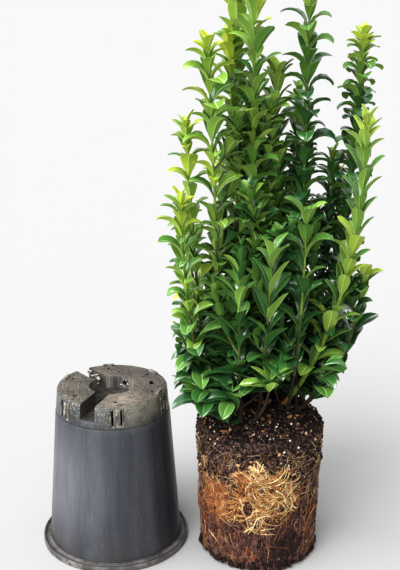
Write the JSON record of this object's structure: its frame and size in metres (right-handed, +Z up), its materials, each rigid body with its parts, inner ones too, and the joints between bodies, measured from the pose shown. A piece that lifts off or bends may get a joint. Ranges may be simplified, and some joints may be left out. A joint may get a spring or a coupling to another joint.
{
  "type": "upright spindle shrub on its root ball with its nursery pot",
  "caption": "Small upright evergreen shrub lifted out of its pot, standing on its bare root ball, with the empty round nursery pot upside down beside it.",
  "frame": {"origin": "centre of the flat underside of the root ball, on the surface that plant and pot stand on", "axes": "+Z up along the shoots, +X to the viewer's right, away from the pot, +Y away from the viewer"},
  "size_m": [0.2895, 0.1511, 0.4951],
  "materials": {
    "leaves": "satin, glossy above and paler below",
    "bark": "matt green bark",
    "compost": "rough moist compost with pale roots",
    "plastic": "satin with soil marks"
  },
  "bodies": {
    "root": {"foliage_back_centre": "leaves", "foliage_back_far_left": "leaves", "foliage_back_far_right": "leaves", "foliage_back_left": "leaves", "foliage_back_middle": "leaves", "foliage_back_right": "leaves", "foliage_centre_right": "leaves", "foliage_front_centre": "leaves", "foliage_front_left": "leaves", "foliage_front_right": "leaves", "foliage_left_inner": "leaves", "foliage_left_low": "leaves", "foliage_left_mid": "leaves", "foliage_left_tall": "leaves", "foliage_low_back": "leaves", "foliage_low_far_left": "leaves", "foliage_low_far_right": "leaves", "foliage_low_front": "leaves", "foliage_low_front_left": "leaves", "foliage_low_left": "leaves", "foliage_low_right": "leaves", "foliage_right_back": "leaves", "foliage_right_front": "leaves", "foliage_right_low": "leaves", "foliage_right_mid": "leaves", "foliage_tall_centre": "leaves", "foliage_tall_left": "leaves", "foliage_tall_right": "leaves", "pot": "plastic", "root_ball": "compost", "stem_back_centre": "bark", "stem_back_far_left": "bark", "stem_back_far_right": "bark", "stem_back_left": "bark", "stem_back_middle": "bark", "stem_back_right": "bark", "stem_centre_right": "bark", "stem_front_centre": "bark", "stem_front_left": "bark", "stem_front_right": "bark", "stem_left_inner": "bark", "stem_left_low": "bark", "stem_left_mid": "bark", "stem_left_tall": "bark", "stem_low_back": "bark", "stem_low_far_left": "bark", "stem_low_far_right": "bark", "stem_low_front": "bark", "stem_low_front_left": "bark", "stem_low_left": "bark", "stem_low_right": "bark", "stem_right_back": "bark", "stem_right_front": "bark", "stem_right_low": "bark", "stem_right_mid": "bark", "stem_tall_centre": "bark", "stem_tall_left": "bark", "stem_tall_right": "bark"}
  },
  "joints": []
}
